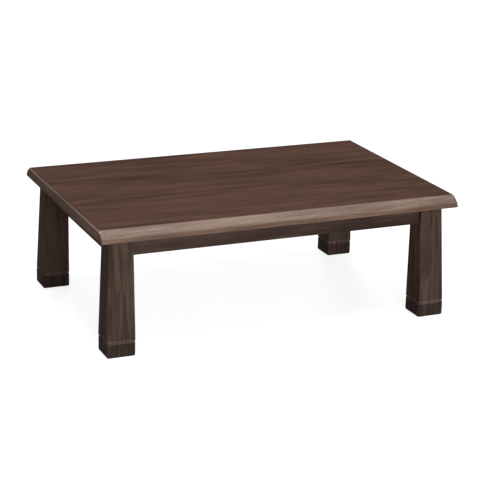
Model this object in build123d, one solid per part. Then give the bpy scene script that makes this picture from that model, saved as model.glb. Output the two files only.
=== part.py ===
from build123d import *
import math
import os

# Kotatsu: a low heated table, in millimetres. The floor is Z = 0, the long side runs along X, the
# front faces -Y, and the origin is on the floor under the middle of the board. The board lifts off
# the frame, the heater unit hangs in the middle of the frame, and the leg extensions pull off.

# ---- Overall
table_length = 1200.0  # board, over its left and right ends
table_width = 800.0  # board, over its front and rear lips
table_height = 405.0  # floor to the face of the board

# ---- Board
board_thickness = 36.0
slope_run = 29.0  # front and rear edges: a wide slope down from the face
slope_drop = 22.0
lip_run = 4.0  # then a steeper lip ...
lip_edge = 4.0  # ... that ends in a short upright edge above the underside
slope_round = 12.0
lip_round = 2.5
face_round = 1.5
strip_width = 62.0  # solid timber along the front and rear edges
tongue_depth = 8.0  # joins each strip to the core panel
tongue_thickness = 10.0
band_thickness = 5.0  # solid timber across the left and right ends
band_chamfer = 4.0
veneer_thickness = 0.6
backing_thickness = 0.8
glue_gap = 0.15  # round tongues, tenons and dowels

# ---- Frame
pad_thickness = 2.0  # grip pads between the frame and the board
pad_radius = 8.0
pad_inset = 28.0  # from a leg's two inner faces
pad_from_apron = 16.0
apron_height = 58.0
apron_thickness = 20.0
apron_setback = (27.0, 35.0)  # from the outer face of the foot, along X and along Y
apron_round = 2.0
rail_width = 25.0  # cross rails and heater rails
rail_height = 40.0
tenon_thickness = 15.0
tenon_height = 28.0
apron_tenon = 10.0  # how far a cross rail enters an apron
rail_tenon = 8.0  # how far a heater rail enters a cross rail
heater_opening = 310.0  # clear square between the rails

# ---- Legs
foot_size = 90.0  # square at the floor
leg_setback = (22.0, 19.0)  # board edge to the outer face of the foot, along X and along Y
leg_flare = (12.0, 20.0)  # how far the outer faces lean in towards the top, along X and along Y
leg_plinth = 12.0  # joint to the bend where the outer faces start to lean
leg_bend = 200.0  # radius of that bend
leg_round = 8.0  # outer corner
leg_arris = 3.0  # the other three corners
leg_chamfer = 1.2  # round the leg's two ends
extension_height = 47.0  # floor to the joint under the leg
extension_round = 4.5
extension_chamfer = 4.0  # round its top, so that the joint reads as a groove
felt_thickness = 3.0
felt_inset = 1.0
dowel_radius = 6.0
dowel_offset = 19.0  # from the centre of the foot, along X and along Y
dowel_in_extension = 18.0
dowel_in_leg = 22.0
dowel_chamfer = 1.0
slide_gap = 0.08  # round a dowel in the leg, and a shaft in its bearing
corner_flat = 12.0  # cut off each side of the leg's inner corner, for the hanger bolts

# ---- Corner brackets and their fasteners
bracket_thickness = 2.3
bracket_height = 44.0
bracket_bend = 2.0
bracket_flange = 32.0
bracket_clearance = 4.0  # leg's inner corner to the bracket
bolt_radius = 4.0
bolt_in_leg = 42.0
bolt_beyond_nut = 5.0
bolt_spacing = 24.0
bolt_fit = 0.1  # round a bolt or a screw in its own hole
washer_radius = 9.0
washer_thickness = 1.6
nut_across_flats = 13.0
nut_height = 6.5
screw_radius = 2.0
screw_length = 14.0
screw_head = (4.0, 2.5)  # radius and height
screw_spacing = 24.0

# ---- Heater unit
heater_gap = 6.0  # case to the rails
heater_drop = 7.0  # top of the frame to the top of the case
sheet = 1.0  # steel of the case, the divider and the guard
case_height = 40.0
case_round = 10.0
ear_width = 30.0
ear_reach = 24.0
ear_offset = 100.0
ear_thickness = 1.5
ear_screw_radius = 2.2
ear_screw_length = 22.0
ear_screw_head = (4.4, 2.5)  # radius and height
guard_drop = 12.0  # underside of the guard below the case wall
guard_rim = 8.0  # guard wall inside the case wall
guard_gap = 0.3
guard_slot_width = 6.0
guard_slot_length = 78.0
guard_slot_pitch = 10.0
guard_slot_rows = 26
guard_screw_radius = 1.5
guard_screw_length = 5.0
guard_screw_head = (3.0, 2.0)
guard_screw_offset = 100.0
divider_x = 62.0  # between the lamp chamber and the fan chamber
divider_lift = 3.0  # divider's lower edge above the guard
wire_hole_radius = 5.0

# Lamp chamber
chamber_x = -43.0  # centre of the reflector and the lamp
reflector_y = 24.0
reflector_sheet = 0.8
reflector_mouth = (196.0, 236.0)
reflector_roof = (150.0, 200.0)
reflector_height = 28.0
reflector_feet = 7.0
reflector_foot_radius = 7.0
reflector_foot_offset = (55.0, 75.0)
lamp_radius = 6.0
lamp_wall = 1.0
lamp_bend = 45.0
lamp_start_y = -130.0
lamp_bend_y = 70.0
lamp_drop = 28.0  # top of the case to the lamp's centre line
lamp_hole_radius = 9.0  # cuts through the reflector's lower rim, so the lamp drops in from below
coil_radius = 4.4
holder_size = (28.0, 22.0)
holder_floor = 12.0  # holder's lower face below the lamp's centre line
holder_back = 5.0
clip_size = (10.0, 16.0)
clip_bore = 6.9

# Fan chamber
fan_centre = (105.0, 20.0)
motor_radius = 13.0
motor_height = 14.0
shaft_radius = 1.5
shaft_length = 22.0
shaft_in_motor = 10.0
hub_radius = 10.0
hub_height = 12.0
blade_reach = 29.0
blade_chord = 14.0
blade_thickness = 1.4
blade_angle = 38.0
blade_count = 5
vent_slot = (5.0, 52.0)
vent_pitch = 9.0
vent_count = 6
thermostat_centre = (84.0, 78.0)
thermostat_radius = 8.0
thermostat_height = 10.0
fuse_centre = (128.0, 72.0)
fuse_radius = 2.5
fuse_length = 16.0
terminal_centre = (86.0, -104.0)
terminal_size = (32.0, 26.0, 20.0)
wire_radius = 1.1
wire_bend = 4.0
wire_level = 14.0  # below the top of the case

# Power inlet, its mouth facing the floor
inlet_centre = (110.0, 112.0)
inlet_size = (40.0, 26.0)
inlet_mouth = (32.0, 18.0)
inlet_depth = 16.0
inlet_back = 8.0
inlet_below_guard = 4.0
inlet_flange = 4.0
inlet_flange_thickness = 2.0
pin_radius = 2.0
pin_spacing = 16.0
pin_reach = 8.0  # out of the floor of the recess
pin_tail = 4.0

# ---- Levels and places that follow from the sizes above
half_length = table_length / 2
half_width = table_width / 2
board_bottom = table_height - board_thickness
core_bottom = board_bottom + backing_thickness
veneer_bottom = table_height - veneer_thickness
strip_y = half_width - strip_width
panel_x = half_length - band_thickness

frame_top = board_bottom - pad_thickness
apron_bottom = frame_top - apron_height
rail_bottom = frame_top - rail_height
foot_x = half_length - leg_setback[0]
foot_y = half_width - leg_setback[1]
leg_inner_x = foot_x - foot_size
leg_inner_y = foot_y - foot_size
leg_centre = (foot_x - foot_size / 2, foot_y - foot_size / 2)
apron_outer_x = foot_x - apron_setback[0]
apron_outer_y = foot_y - apron_setback[1]
apron_inner_x = apron_outer_x - apron_thickness
apron_inner_y = apron_outer_y - apron_thickness
rail_inner = heater_opening / 2
rail_centre = rail_inner + rail_width / 2
tenon_level = frame_top - rail_height / 2

case_top = frame_top - heater_drop
case_half = rail_inner - heater_gap
case_floor = case_top - case_height
ceiling = case_top - sheet  # inner face of the case's top
guard_bottom = case_floor - guard_drop
guard_half = case_half - sheet - guard_gap
lamp_level = case_top - lamp_drop

QUADRANTS = {
    "front_left": (-1, -1),
    "front_right": (1, -1),
    "rear_left": (-1, 1),
    "rear_right": (1, 1),
}
CORNER = (Align.MIN, Align.MIN, Align.MIN)
STANDING = (Align.CENTER, Align.CENTER, Align.MIN)

nodes = {}


# ---- Helpers
def block(x, y, z):
    """A box between the two values given for each axis."""
    return Pos(x[0], y[0], z[0]) * Box(x[1] - x[0], y[1] - y[0], z[1] - z[0], align=CORNER)


def around(centre, size):
    """The two values that lie half a size each side of a centre."""
    return (centre - size / 2, centre + size / 2)


def rod(start, end, radius):
    """A round bar from one point to another."""
    axis = Vector(*end) - Vector(*start)
    return Plane(origin=start, z_dir=axis) * Cylinder(radius, axis.length, align=STANDING)


def along(point, direction, distance):
    """The point that lies a distance away in a direction."""
    return tuple(Vector(*point) + Vector(*direction).normalized() * distance)


def screw(seat, direction, radius, length, head_radius, head_height):
    """A pan-head screw: its head sits on the seat, and its shank runs along the direction."""
    top = along(seat, direction, -head_height)
    head = rod(top, seat, head_radius)
    crown = head.edges().filter_by(GeomType.CIRCLE).sort_by_distance(top)[0]
    return fillet(crown, head_height / 2) + rod(seat, along(seat, direction, length), radius)


def screw_hole(seat, direction, radius, length):
    """The hole that a screw of that shank needs, from its seat inwards."""
    return rod(seat, along(seat, direction, length + bolt_fit), radius + bolt_fit)


def in_quadrant(shape, side_x, side_y):
    """A shape made for the rear right corner, mirrored to another corner."""
    if side_x < 0:
        shape = mirror(shape, about=Plane.YZ)
    if side_y < 0:
        shape = mirror(shape, about=Plane.XZ)
    return shape


def in_all_quadrants(shape):
    """Four copies, one in each corner."""
    return [in_quadrant(shape, *sides) for sides in QUADRANTS.values()]


def group(solids):
    """Separate solids kept together in one node."""
    return Compound(children=[solid for shape in solids for solid in shape.solids()])


# ---- Board
def board_envelope():
    """The outer shape of the whole board: sloped front and rear edges, chamfered ends."""
    slope_top = half_width - slope_run - lip_run
    lip_top = half_width - lip_run
    lip_level = table_height - slope_drop
    outline = [
        (-half_width, board_bottom),
        (half_width, board_bottom),
        (half_width, board_bottom + lip_edge),
        (lip_top, lip_level),
        (slope_top, table_height),
        (-slope_top, table_height),
        (-lip_top, lip_level),
        (-half_width, board_bottom + lip_edge),
    ]
    half_radii = [lip_round, 0, slope_round, face_round]
    radii = [lip_round] + half_radii + half_radii[:0:-1]
    section = make_face(Plane.YZ * FilletPolyline(*outline, radius=radii, close=True))
    board = extrude(section, half_length, both=True)
    corner = [
        (half_length - band_chamfer, table_height),
        (half_length, table_height),
        (half_length, table_height - band_chamfer),
    ]
    wedge = extrude(make_face(Plane.XZ * Polyline(*corner, close=True)), half_width, both=True)
    return board - wedge - mirror(wedge, about=Plane.YZ)


def make_board():
    """Core panel, face veneer, backing sheet, two solid edge strips and two end bands."""
    envelope = board_envelope()
    tongue_z = around((core_bottom + veneer_bottom) / 2, tongue_thickness)
    groove_z = around((core_bottom + veneer_bottom) / 2, tongue_thickness + 2 * glue_gap)
    panel_span = (-panel_x, panel_x)

    core = block(panel_span, (-strip_y, strip_y), (core_bottom, veneer_bottom))
    strip = envelope & block(panel_span, (strip_y, half_width), (board_bottom, veneer_bottom))
    strip += block(panel_span, (strip_y - tongue_depth, strip_y), tongue_z)
    groove = block(panel_span, (strip_y - tongue_depth - glue_gap, strip_y), groove_z)
    core -= groove + mirror(groove, about=Plane.XZ)
    band = envelope & block(
        (panel_x, half_length), (-half_width, half_width), (board_bottom, table_height)
    )

    nodes["board_core"] = core
    nodes["board_face_veneer"] = envelope & block(
        panel_span, (-half_width, half_width), (veneer_bottom, table_height)
    )
    nodes["board_backing_sheet"] = block(
        panel_span, (-strip_y, strip_y), (board_bottom, core_bottom)
    )
    nodes["board_rear_edge_strip"] = strip
    nodes["board_front_edge_strip"] = mirror(strip, about=Plane.XZ)
    nodes["board_right_end_band"] = band
    nodes["board_left_end_band"] = mirror(band, about=Plane.YZ)


# ---- Corner brackets, placed for the rear right corner
def bracket_corners():
    """Where the bracket's leg side bends: on the rear apron and on the right apron."""
    gap = bracket_clearance * math.sqrt(2)
    rear_bend = (leg_inner_x - (apron_inner_y - leg_inner_y) - gap, apron_inner_y)
    right_bend = (apron_inner_x, leg_inner_y - (apron_inner_x - leg_inner_x) - gap)
    return rear_bend, right_bend


def make_bracket():
    """A steel strip across the corner, with a flange on each apron."""
    rear_bend, right_bend = bracket_corners()
    tuck = (math.sqrt(2) - 1) * bracket_thickness
    outline = [
        (rear_bend[0] - bracket_flange, apron_inner_y),
        rear_bend,
        right_bend,
        (apron_inner_x, right_bend[1] - bracket_flange),
        (apron_inner_x - bracket_thickness, right_bend[1] - bracket_flange),
        (apron_inner_x - bracket_thickness, right_bend[1] - tuck),
        (rear_bend[0] - tuck, apron_inner_y - bracket_thickness),
        (rear_bend[0] - bracket_flange, apron_inner_y - bracket_thickness),
    ]
    outer = bracket_bend + bracket_thickness
    radii = [0, outer, outer, 0, 0, bracket_bend, bracket_bend, 0]
    strip = make_face(FilletPolyline(*outline, radius=radii, close=True))
    level = frame_top - apron_height / 2 - bracket_height / 2
    bracket = Pos(0, 0, level) * extrude(strip, bracket_height)
    for seat, direction in bracket_screw_places():
        bracket -= screw_hole(seat, direction, screw_radius, bracket_thickness)
    for middle in bolt_places():
        reach = bracket_thickness + bracket_bend
        start = along(middle, (1, 1, 0), -reach)
        bracket -= rod(start, along(middle, (1, 1, 0), reach), bolt_radius + bolt_fit)
    return bracket


def bracket_screw_places():
    """Seat and direction of each wood screw: two through each flange."""
    rear_bend, right_bend = bracket_corners()
    middle = frame_top - apron_height / 2
    seats = []
    for level in around(middle, screw_spacing):
        rear = (rear_bend[0] - bracket_flange / 2, apron_inner_y - bracket_thickness, level)
        right = (apron_inner_x - bracket_thickness, right_bend[1] - bracket_flange / 2, level)
        seats.append((rear, (0, 1, 0)))
        seats.append((right, (1, 0, 0)))
    return seats


def bolt_places():
    """Where each hanger bolt crosses the bracket's leg side."""
    step = bracket_clearance / math.sqrt(2)
    middle_z = frame_top - apron_height / 2
    levels = around(middle_z, bolt_spacing)
    return [(leg_inner_x - step, leg_inner_y - step, level) for level in levels]


def leg_flat_distance():
    """Bracket's leg side to the flat on the leg's inner corner, along the bolt."""
    return bracket_clearance + corner_flat / math.sqrt(2)


def make_hanger_bolts():
    """Bolts, washers and nuts of one corner."""
    diagonal = (1, 1, 0)
    bolts, washers, nuts = [], [], []
    for middle in bolt_places():
        plate_face = along(middle, diagonal, -bracket_thickness)
        washer_face = along(plate_face, diagonal, -washer_thickness)
        nut_face = along(washer_face, diagonal, -nut_height)
        bolt_end = along(nut_face, diagonal, -bolt_beyond_nut)
        bolt_tip = along(middle, diagonal, leg_flat_distance() + bolt_in_leg)
        hole = rod(bolt_end, bolt_tip, bolt_radius + bolt_fit)
        bolts.append(rod(bolt_end, bolt_tip, bolt_radius))
        washers.append(rod(washer_face, plate_face, washer_radius) - hole)
        hexagon = RegularPolygon(nut_across_flats / 2, 6, major_radius=False)
        nut = Plane(origin=nut_face, z_dir=diagonal) * extrude(hexagon, nut_height)
        nuts.append(nut - hole)
    return bolts, washers, nuts


# ---- Legs and their extensions, placed for the rear right corner
def leg_outline(outer, flare):
    """Side view of a leg: upright inner face, outer face that bends and leans in to the top."""
    inner = outer - foot_size
    outline = [
        (inner, extension_height),
        (outer, extension_height),
        (outer, extension_height + leg_plinth),
        (outer - flare, frame_top),
        (inner, frame_top),
    ]
    return FilletPolyline(*outline, radius=[0, 0, leg_bend, 0, 0], close=True)


def soften_corners(shape, outer_round, inner_round, lowest_length):
    """Round a post's outer corner, and its other three corners."""
    uprights = [edge for edge in shape.edges() if abs(edge.tangent_at(0).Z) > 0.9]
    uprights = [edge for edge in uprights if edge.length > lowest_length]
    uprights.sort(key=lambda edge: edge.center().X + edge.center().Y)
    shape = fillet(uprights[-1], outer_round)
    uprights = [edge for edge in shape.edges() if abs(edge.tangent_at(0).Z) > 0.9]
    uprights = [edge for edge in uprights if edge.length > lowest_length]
    uprights.sort(key=lambda edge: edge.center().X + edge.center().Y)
    return fillet(uprights[:3], inner_round)


def dowel_axes():
    """The two dowels of a foot, on its diagonal."""
    return [
        (leg_centre[0] + side * dowel_offset, leg_centre[1] - side * dowel_offset)
        for side in (-1, 1)
    ]


def make_leg():
    """A square post with two flared faces, bored for its dowels and hanger bolts."""
    side_view = make_face(Plane.XZ * leg_outline(foot_x, leg_flare[0]))
    end_view = make_face(Plane.YZ * leg_outline(foot_y, leg_flare[1]))
    leg = extrude(side_view, half_width, both=True) & extrude(end_view, half_length, both=True)
    leg = soften_corners(leg, leg_round, leg_arris, (frame_top - extension_height) / 2)
    leg = chamfer(leg.faces().sort_by(Axis.Z)[0].edges(), leg_chamfer)
    leg = chamfer(leg.faces().sort_by(Axis.Z)[-1].edges(), leg_chamfer)

    flat_corner = [
        (leg_inner_x - corner_flat, leg_inner_y - corner_flat),
        (leg_inner_x + 2 * corner_flat, leg_inner_y - corner_flat),
        (leg_inner_x - corner_flat, leg_inner_y + 2 * corner_flat),
    ]
    notch = extrude(make_face(Polyline(*flat_corner, close=True)), apron_height)
    leg -= Pos(0, 0, apron_bottom) * notch
    for x, y in dowel_axes():
        top = extension_height + dowel_in_leg + dowel_chamfer
        leg -= rod((x, y, extension_height), (x, y, top), dowel_radius + slide_gap)
    for middle in bolt_places():
        tip = along(middle, (1, 1, 0), leg_flat_distance() + bolt_in_leg + bolt_fit)
        leg -= rod(middle, tip, bolt_radius + bolt_fit)
    return leg


def make_extension():
    """The short block under a leg, with a chamfer round its top and bored for the dowels."""
    foot = block(
        (leg_inner_x, foot_x), (leg_inner_y, foot_y), (felt_thickness, extension_height)
    )
    foot = fillet(foot.edges().filter_by(Axis.Z), extension_round)
    foot = chamfer(foot.faces().sort_by(Axis.Z)[-1].edges(), extension_chamfer)
    for x, y in dowel_axes():
        floor = extension_height - dowel_in_extension
        foot -= rod((x, y, floor), (x, y, extension_height), dowel_radius + glue_gap)
    return foot


def make_dowel(x, y):
    """A round dowel with both ends chamfered."""
    low = extension_height - dowel_in_extension
    dowel = rod((x, y, low), (x, y, extension_height + dowel_in_leg), dowel_radius)
    return chamfer(dowel.edges().filter_by(GeomType.CIRCLE), dowel_chamfer)


def make_felt():
    """The felt pad glued under an extension."""
    felt = block(
        (leg_inner_x + felt_inset, foot_x - felt_inset),
        (leg_inner_y + felt_inset, foot_y - felt_inset),
        (0, felt_thickness),
    )
    return fillet(felt.edges().filter_by(Axis.Z), extension_round)


# ---- Aprons and rails
def make_apron(half_span, inner, axis_is_x):
    """An apron between two legs, its lower outer edge rounded; made on the rear or right side."""
    span = (-half_span, half_span)
    depth = (inner, inner + apron_thickness)
    height = (apron_bottom, frame_top)
    apron = block(span, depth, height) if axis_is_x else block(depth, span, height)
    outward = Axis.Y if axis_is_x else Axis.X
    low_edges = apron.edges().filter_by(Axis.X if axis_is_x else Axis.Y).group_by(Axis.Z)[0]
    apron = fillet(low_edges.sort_by(outward)[-1], apron_round)
    holes = [
        screw_hole(seat, direction, screw_radius, screw_length)
        for seat, direction in bracket_screw_places()
        if (direction[1] == 1) == axis_is_x
    ]
    for hole in holes:
        apron -= hole
        apron -= mirror(hole, about=Plane.YZ if axis_is_x else Plane.XZ)
    return apron


def tenon(centre, along_x, root, tip, gap):
    """A tenon, or with a gap the mortise for it, from its shoulder to its tip."""
    thick = around(centre, tenon_thickness + 2 * gap)
    high = around(tenon_level, tenon_height + 2 * gap)
    length = (root, tip + gap)
    return block(length, thick, high) if along_x else block(thick, length, high)


def make_frame():
    """Four aprons, two cross rails and two heater rails between them, joined by tenons."""
    rear = make_apron(leg_inner_x, apron_inner_y, True)
    right = make_apron(leg_inner_y, apron_inner_x, False)
    for side in (-1, 1):
        centre = side * rail_centre
        rear -= tenon(centre, False, apron_inner_y, apron_inner_y + apron_tenon, glue_gap)

    cross = block(
        around(rail_centre, rail_width), (-apron_inner_y, apron_inner_y), (rail_bottom, frame_top)
    )
    cross_tenon = tenon(rail_centre, False, apron_inner_y, apron_inner_y + apron_tenon, 0)
    cross += cross_tenon + mirror(cross_tenon, about=Plane.XZ)
    for side in (-1, 1):
        cross -= tenon(side * rail_centre, True, rail_inner, rail_inner + rail_tenon, glue_gap)
    for seat in ear_screw_seats():
        cross -= screw_hole(seat, (0, 0, 1), ear_screw_radius, ear_screw_length)

    short = block(
        (-rail_inner, rail_inner), around(rail_centre, rail_width), (rail_bottom, frame_top)
    )
    short_tenon = tenon(rail_centre, True, rail_inner, rail_inner + rail_tenon, 0)
    short += short_tenon + mirror(short_tenon, about=Plane.YZ)

    nodes["apron_rear"] = rear
    nodes["apron_front"] = mirror(rear, about=Plane.XZ)
    nodes["apron_right"] = right
    nodes["apron_left"] = mirror(right, about=Plane.YZ)
    nodes["cross_rail_right"] = cross
    nodes["cross_rail_left"] = mirror(cross, about=Plane.YZ)
    nodes["heater_rail_rear"] = short
    nodes["heater_rail_front"] = mirror(short, about=Plane.XZ)


def make_grip_pads():
    """Round pads under the board: one on each leg and one at each end of the cross rails."""
    leg_pad = Pos(leg_inner_x + pad_inset, leg_inner_y + pad_inset, frame_top)
    rail_pad = Pos(rail_centre, apron_inner_y - pad_from_apron, frame_top)
    pads = []
    for place in (leg_pad, rail_pad):
        pads += in_all_quadrants(place * Cylinder(pad_radius, pad_thickness, align=STANDING))
    nodes["grip_pads"] = group(pads)


def make_corners():
    """Legs, extensions, brackets and every fastener of the four corners."""
    leg = make_leg()
    extension = make_extension()
    dowels = [make_dowel(x, y) for x, y in dowel_axes()]
    felt = make_felt()
    bracket = make_bracket()
    for corner, (side_x, side_y) in QUADRANTS.items():
        nodes["leg_" + corner] = in_quadrant(leg, side_x, side_y)
        nodes["extension_" + corner] = in_quadrant(extension, side_x, side_y)
        pair = [in_quadrant(dowel, side_x, side_y) for dowel in dowels]
        nodes["extension_dowels_" + corner] = group(pair)
        nodes["felt_pad_" + corner] = in_quadrant(felt, side_x, side_y)
        nodes["corner_bracket_" + corner] = in_quadrant(bracket, side_x, side_y)

    screws = [
        screw(seat, direction, screw_radius, screw_length, *screw_head)
        for seat, direction in bracket_screw_places()
    ]
    bolts, washers, nuts = make_hanger_bolts()
    fasteners = {
        "bracket_screws": screws,
        "hanger_bolts": bolts,
        "bolt_washers": washers,
        "bolt_nuts": nuts,
    }
    for name, pieces in fasteners.items():
        nodes[name] = group([copy for piece in pieces for copy in in_all_quadrants(piece)])


# ---- Heater case and guard
def ear_screw_seats():
    """Under the two ears on the right of the case, where their screws go up into the rail."""
    return [(rail_centre, side * ear_offset, rail_bottom) for side in (-1, 1)]


def guard_screw_places():
    """Seat and direction of the guard's screws, through the front and rear walls of the case."""
    level = case_floor + guard_rim / 2
    return [
        ((x * guard_screw_offset, -y * case_half, level), (0, y, 0))
        for x in (-1, 1)
        for y in (-1, 1)
    ]


def slot_row(centre, size, pitch, count):
    """Upright cutters for a row of round-ended slots that lie along X, one behind another."""
    width, length = size
    slot = extrude(SlotOverall(length, width), table_height)
    first = centre[1] - (count - 1) * pitch / 2
    return [slot.moved(Location((centre[0], first + i * pitch, 0))) for i in range(count)]


def make_case():
    """A pressed steel tray, open below, with four ears and a row of air slots over the fan."""
    outer = block((-case_half, case_half), (-case_half, case_half), (case_floor, case_top))
    outer = fillet(outer.edges().filter_by(Axis.Z), case_round)
    inner_half = case_half - sheet
    inner = block((-inner_half, inner_half), (-inner_half, inner_half), (case_floor, ceiling))
    inner = fillet(inner.edges().filter_by(Axis.Z), case_round - sheet)
    case = outer - inner
    for side_y in (-1, 1):
        ear = block(
            (case_half - sheet / 2, case_half + ear_reach),
            around(side_y * ear_offset, ear_width),
            (rail_bottom - ear_thickness, rail_bottom),
        )
        case += ear + mirror(ear, about=Plane.YZ)
    for seat in ear_screw_seats():
        low = (seat[0], seat[1], rail_bottom - ear_thickness)
        hole = rod(low, seat, ear_screw_radius + bolt_fit)
        case -= hole + mirror(hole, about=Plane.YZ)
    for seat, direction in guard_screw_places():
        case -= screw_hole(seat, direction, guard_screw_radius, sheet)
    upright = Pos(0, 0, ceiling - sheet)
    for cutter in slot_row(fan_centre, vent_slot, vent_pitch, vent_count):
        case -= upright * cutter
    return case


def make_guard():
    """A slotted steel tray that closes the case from below; its rim fits inside the case."""
    rim_top = case_floor + guard_rim
    half = guard_half
    outer = block((-half, half), (-half, half), (guard_bottom, rim_top))
    outer = fillet(outer.edges().filter_by(Axis.Z), case_round - sheet - guard_gap)
    half = guard_half - sheet
    inner = block((-half, half), (-half, half), (guard_bottom + sheet, rim_top))
    inner = fillet(inner.edges().filter_by(Axis.Z), case_round - 2 * sheet - guard_gap)
    guard = outer - inner
    slot = (guard_slot_width, guard_slot_length)
    step = guard_slot_length + guard_slot_pitch
    columns = [(x, 0) for x in around(chamber_x, step)]
    cutters = []
    for centre in columns:
        cutters += slot_row(centre, slot, guard_slot_pitch, guard_slot_rows)
    cutters += slot_row(fan_centre, vent_slot, vent_pitch, vent_count)
    inlet = block(
        around(inlet_centre[0], inlet_size[0] + 2 * guard_gap),
        around(inlet_centre[1], inlet_size[1] + 2 * guard_gap),
        (guard_bottom - sheet, guard_bottom + 2 * sheet),
    )
    low = Pos(0, 0, guard_bottom + sheet - table_height)
    guard = guard - [low * cutter for cutter in cutters] - inlet
    for seat, direction in guard_screw_places():
        reach = guard_screw_length + sheet
        guard -= screw_hole(seat, direction, guard_screw_radius, reach)
    return guard


def make_divider():
    """The sheet steel wall between the two chambers, with holes for the lamp's wires."""
    half = case_half - 2 * sheet - 2 * guard_gap
    wall = block(
        around(divider_x, sheet), (-half, half), (guard_bottom + sheet + divider_lift, ceiling)
    )
    hole_y = lamp_start_y - holder_back - wire_bend
    level = case_top - wire_level
    start, end = [(x, hole_y, level) for x in around(divider_x, 4 * sheet)]
    return wall - rod(start, end, wire_hole_radius)


# ---- Lamp chamber
def lamp_axes():
    """The two straight runs of the lamp, along Y."""
    return around(chamber_x, 2 * lamp_bend)


def frustum(mouth, roof, low, high):
    """A solid with four flat sides that narrows from a rectangle below to a smaller one above."""
    views = []
    for plane, wide, narrow in zip((Plane.XZ, Plane.YZ), mouth, roof):
        outline = [(-wide / 2, low), (wide / 2, low), (narrow / 2, high), (-narrow / 2, high)]
        side_view = make_face(plane * Polyline(*outline, close=True))
        views.append(extrude(side_view, half_width, both=True))
    return Pos(chamber_x, reflector_y, 0) * (views[0] & views[1])


def make_reflector():
    """A bright tray with sloping sides, hung from the case by four pressed feet."""
    high = ceiling - reflector_feet
    low = high - reflector_height
    inner_mouth = tuple(side - 2 * reflector_sheet for side in reflector_mouth)
    inner_roof = tuple(side - 2 * reflector_sheet for side in reflector_roof)
    tray = frustum(reflector_mouth, reflector_roof, low, high)
    tray -= frustum(inner_mouth, inner_roof, low, high - reflector_sheet)
    for side_x in (-1, 1):
        for side_y in (-1, 1):
            foot = (
                chamber_x + side_x * reflector_foot_offset[0],
                reflector_y + side_y * reflector_foot_offset[1],
            )
            tray += rod((*foot, high - reflector_sheet), (*foot, ceiling), reflector_foot_radius)
    for x in lamp_axes():
        start = (x, lamp_start_y, lamp_level)
        tray -= rod(start, (x, reflector_y, lamp_level), lamp_hole_radius)
    return tray


def lamp_path(start_y):
    """Centre line of the U-shaped lamp."""
    left, right = lamp_axes()
    going = Line((left, start_y, lamp_level), (left, lamp_bend_y, lamp_level))
    turn = ThreePointArc(
        (left, lamp_bend_y, lamp_level),
        (chamber_x, lamp_bend_y + lamp_bend, lamp_level),
        (right, lamp_bend_y, lamp_level),
    )
    coming = Line((right, lamp_bend_y, lamp_level), (right, start_y, lamp_level))
    return going + turn + coming


def swept(path, radius):
    """A round bar along a path."""
    section = Plane(origin=path @ 0, z_dir=path % 0) * Circle(radius)
    return sweep(section, path=path)


def make_lamp():
    """Quartz tube, heating coil inside it, ceramic holders at its ends and a clip at its bend."""
    path = lamp_path(lamp_start_y)
    nodes["quartz_tube"] = swept(path, lamp_radius) - swept(path, lamp_radius - lamp_wall)
    nodes["heating_coil"] = swept(path, coil_radius)

    holders = []
    back = lamp_start_y - holder_back
    for x in lamp_axes():
        holder = block(
            around(x, holder_size[0]),
            (back, back + holder_size[1]),
            (lamp_level - holder_floor, ceiling),
        )
        bore = rod((x, lamp_start_y, lamp_level), (x, reflector_y, lamp_level), lamp_radius)
        bore = offset(bore, bolt_fit)
        level = case_top - wire_level
        wire_entry = rod((x, back, level), (x, back + holder_back, level), wire_radius + bolt_fit)
        holders.append(holder - bore - wire_entry)
    nodes["lamp_holders"] = group(holders)

    bend_y = lamp_bend_y + lamp_bend
    roof = ceiling - reflector_feet - reflector_sheet
    clip = block(
        around(chamber_x, clip_size[0]),
        (bend_y - clip_size[1] / 2, bend_y + clip_size[1] / 2),
        (lamp_level - clip_bore - 2 * sheet, roof),
    )
    reach = clip_size[0]
    start = (chamber_x - reach, bend_y, lamp_level)
    nodes["lamp_clip"] = clip - rod(start, (chamber_x + reach, bend_y, lamp_level), clip_bore)


# ---- Fan chamber
def make_fan():
    """Motor on the case's top, its shaft, and the impeller on the shaft."""
    x, y = fan_centre
    motor_bottom = ceiling - motor_height
    motor = rod((x, y, motor_bottom), (x, y, ceiling), motor_radius)
    motor = fillet(motor.edges().group_by(Axis.Z)[0], 2 * sheet)
    shaft_top = motor_bottom + shaft_in_motor
    shaft_bottom = shaft_top - shaft_length
    motor -= rod((x, y, motor_bottom), (x, y, shaft_top + sheet), shaft_radius + slide_gap)
    nodes["fan_motor"] = motor
    nodes["fan_shaft"] = rod((x, y, shaft_bottom), (x, y, shaft_top), shaft_radius)

    impeller = rod((x, y, shaft_bottom), (x, y, shaft_bottom + hub_height), hub_radius)
    impeller = fillet(impeller.edges().group_by(Axis.Z)[0], 2 * sheet)
    root = hub_radius - blade_thickness
    blade = Box(blade_reach - root, blade_thickness, blade_chord)
    middle = shaft_bottom + hub_height / 2
    for i in range(blade_count):
        turn = Pos(x, y, middle) * Rot(0, 0, i * 360 / blade_count)
        impeller += turn * Pos((root + blade_reach) / 2, 0, 0) * Rot(90 - blade_angle, 0, 0) * blade
    hub_bore = rod(
        (x, y, shaft_bottom), (x, y, shaft_bottom + hub_height), shaft_radius + slide_gap / 2
    )
    nodes["fan_impeller"] = impeller - hub_bore


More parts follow.
